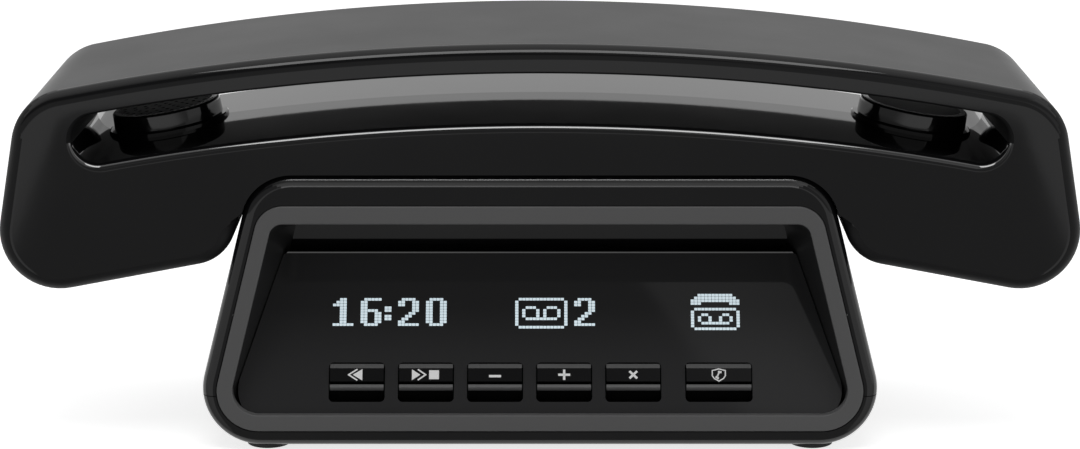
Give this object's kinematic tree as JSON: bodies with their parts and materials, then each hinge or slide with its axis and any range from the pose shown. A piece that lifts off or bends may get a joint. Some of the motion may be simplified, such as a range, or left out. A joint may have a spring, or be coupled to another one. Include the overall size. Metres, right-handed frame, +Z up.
{
  "type": "cordless desk phone",
  "caption": "Cordless phone: an arched handset with a through slot lies over a small charging base whose framed recess holds an inclined panel with a display and keys",
  "frame": {"origin": "middle of the phone's footprint, on the table under the feet", "axes": "X along the handset, Y from the front to the back, Z up"},
  "size_m": [0.2198, 0.0582, 0.085],
  "materials": {
    "gloss_shell": "gloss black moulding",
    "cover_moulding": "fine spark texture",
    "satin_ring": "satin grey lacquer",
    "recess_liner": "satin black",
    "panel_gloss": "gloss black",
    "display_module": "dark window with lit pixels",
    "circuit_board": "solder mask",
    "switch_metal": "plated spring metal",
    "speaker_metal": "pressed basket",
    "socket_plastic": "moulded",
    "foot_rubber": "matt",
    "screw_steel": "zinc plated",
    "plate_plastic": "satin",
    "mat_rubber": "silicone",
    "handset_display": "unlit display",
    "lens": "clear window",
    "contact_gold": "gold plated",
    "puck_gloss": "gloss black",
    "cell_wrap": "shrink sleeve",
    "microphone_can": "drawn can",
    "base_key": "semi-gloss with printed icons",
    "number_key": "satin with printed marks",
    "talk_key": "satin",
    "end_key": "satin",
    "menu_key": "satin"
  },
  "bodies": {
    "base": {"base_housing": "gloss_shell", "bottom_cover": "cover_moulding", "bezel_ring": "satin_ring", "recess_liner": "recess_liner", "display_panel": "panel_gloss", "display_module": "display_module", "key_board": "circuit_board", "key_switches": "switch_metal", "main_board": "circuit_board", "base_speaker": "speaker_metal", "power_jack": "socket_plastic", "line_socket": "socket_plastic", "charge_block": "socket_plastic", "rubber_feet": "foot_rubber", "base_screws": "screw_steel"},
    "handset": {"handset_housing": "gloss_shell", "keypad_plate": "plate_plastic", "keypad_mat": "mat_rubber", "handset_board": "circuit_board", "handset_display": "handset_display", "display_lens": "lens", "charge_pads": "contact_gold", "speaker_cap": "puck_gloss", "plain_cap": "puck_gloss", "handsfree_speaker": "speaker_metal", "earpiece_cover": "cover_moulding", "earpiece_speaker": "speaker_metal", "battery_cover": "cover_moulding", "battery_cells": "cell_wrap", "cell_contacts": "switch_metal", "microphone": "microphone_can"},
    "rewind_key": {"rewind_key": "base_key"},
    "play_stop_key": {"play_stop_key": "base_key"},
    "minus_key": {"minus_key": "base_key"},
    "plus_key": {"plus_key": "base_key"},
    "erase_key": {"erase_key": "base_key"},
    "guard_key": {"guard_key": "base_key"},
    "charge_pin_left": {"charge_pin_left": "contact_gold"},
    "charge_pin_right": {"charge_pin_right": "contact_gold"},
    "key_1": {"key_1": "number_key"},
    "key_2": {"key_2": "number_key"},
    "key_3": {"key_3": "number_key"},
    "key_4": {"key_4": "number_key"},
    "key_5": {"key_5": "number_key"},
    "key_6": {"key_6": "number_key"},
    "key_7": {"key_7": "number_key"},
    "key_8": {"key_8": "number_key"},
    "key_9": {"key_9": "number_key"},
    "key_star": {"key_star": "number_key"},
    "key_0": {"key_0": "number_key"},
    "key_hash": {"key_hash": "number_key"},
    "talk_key": {"talk_key": "talk_key"},
    "end_key": {"end_key": "end_key"},
    "menu_key": {"menu_key": "menu_key"}
  },
  "joints": [
    {"name": "rewind_press", "type": "slide", "parent": "base", "child": "rewind_key", "axis": [0, 0.8607, -0.509], "range_m": [0, 0.0006], "stiffness_N_per_m": 900, "springref_m": -0.0006},
    {"name": "play_stop_press", "type": "slide", "parent": "base", "child": "play_stop_key", "axis": [0, 0.8607, -0.509], "range_m": [0, 0.0006], "stiffness_N_per_m": 900, "springref_m": -0.0006},
    {"name": "minus_press", "type": "slide", "parent": "base", "child": "minus_key", "axis": [0, 0.8607, -0.509], "range_m": [0, 0.0006], "stiffness_N_per_m": 900, "springref_m": -0.0006},
    {"name": "plus_press", "type": "slide", "parent": "base", "child": "plus_key", "axis": [0, 0.8607, -0.509], "range_m": [0, 0.0006], "stiffness_N_per_m": 900, "springref_m": -0.0006},
    {"name": "erase_press", "type": "slide", "parent": "base", "child": "erase_key", "axis": [0, 0.8607, -0.509], "range_m": [0, 0.0006], "stiffness_N_per_m": 900, "springref_m": -0.0006},
    {"name": "guard_press", "type": "slide", "parent": "base", "child": "guard_key", "axis": [0, 0.8607, -0.509], "range_m": [0, 0.0006], "stiffness_N_per_m": 900, "springref_m": -0.0006},
    {"name": "pin_left_sink", "type": "slide", "parent": "base", "child": "charge_pin_left", "axis": [0, 0, 1], "range_m": [-0.0005, 0], "stiffness_N_per_m": 700, "springref_m": 0.0006},
    {"name": "pin_right_sink", "type": "slide", "parent": "base", "child": "charge_pin_right", "axis": [0, 0, 1], "range_m": [-0.0005, 0], "stiffness_N_per_m": 700, "springref_m": 0.0006},
    {"name": "handset_lift", "type": "slide", "parent": "base", "child": "handset", "axis": [0, 0, 1], "range_m": [0, 0.12]},
    {"name": "key_1_press", "type": "slide", "parent": "handset", "child": "key_1", "axis": [0, 0, 1], "range_m": [0, 0.00045], "stiffness_N_per_m": 700, "springref_m": -0.0006},
    {"name": "key_2_press", "type": "slide", "parent": "handset", "child": "key_2", "axis": [0, 0, 1], "range_m": [0, 0.00045], "stiffness_N_per_m": 700, "springref_m": -0.0006},
    {"name": "key_3_press", "type": "slide", "parent": "handset", "child": "key_3", "axis": [0, 0, 1], "range_m": [0, 0.00045], "stiffness_N_per_m": 700, "springref_m": -0.0006},
    {"name": "key_4_press", "type": "slide", "parent": "handset", "child": "key_4", "axis": [0, 0, 1], "range_m": [0, 0.00045], "stiffness_N_per_m": 700, "springref_m": -0.0006},
    {"name": "key_5_press", "type": "slide", "parent": "handset", "child": "key_5", "axis": [0, 0, 1], "range_m": [0, 0.00045], "stiffness_N_per_m": 700, "springref_m": -0.0006},
    {"name": "key_6_press", "type": "slide", "parent": "handset", "child": "key_6", "axis": [0, 0, 1], "range_m": [0, 0.00045], "stiffness_N_per_m": 700, "springref_m": -0.0006},
    {"name": "key_7_press", "type": "slide", "parent": "handset", "child": "key_7", "axis": [0, 0, 1], "range_m": [0, 0.00045], "stiffness_N_per_m": 700, "springref_m": -0.0006},
    {"name": "key_8_press", "type": "slide", "parent": "handset", "child": "key_8", "axis": [0, 0, 1], "range_m": [0, 0.00045], "stiffness_N_per_m": 700, "springref_m": -0.0006},
    {"name": "key_9_press", "type": "slide", "parent": "handset", "child": "key_9", "axis": [0, 0, 1], "range_m": [0, 0.00045], "stiffness_N_per_m": 700, "springref_m": -0.0006},
    {"name": "key_star_press", "type": "slide", "parent": "handset", "child": "key_star", "axis": [0, 0, 1], "range_m": [0, 0.00045], "stiffness_N_per_m": 700, "springref_m": -0.0006},
    {"name": "key_0_press", "type": "slide", "parent": "handset", "child": "key_0", "axis": [0, 0, 1], "range_m": [0, 0.00045], "stiffness_N_per_m": 700, "springref_m": -0.0006},
    {"name": "key_hash_press", "type": "slide", "parent": "handset", "child": "key_hash", "axis": [0, 0, 1], "range_m": [0, 0.00045], "stiffness_N_per_m": 700, "springref_m": -0.0006},
    {"name": "talk_press", "type": "slide", "parent": "handset", "child": "talk_key", "axis": [0, 0, 1], "range_m": [0, 0.00045], "stiffness_N_per_m": 700, "springref_m": -0.0006},
    {"name": "end_press", "type": "slide", "parent": "handset", "child": "end_key", "axis": [0, 0, 1], "range_m": [0, 0.00045], "stiffness_N_per_m": 700, "springref_m": -0.0006},
    {"name": "menu_rock", "type": "hinge", "parent": "handset", "child": "menu_key", "pos_m": [-0.012, 0, 0.0601], "axis": [0, 1, 0], "range_deg": [-2.5, 2.5], "stiffness_Nm_per_rad": 0.08}
  ]
}
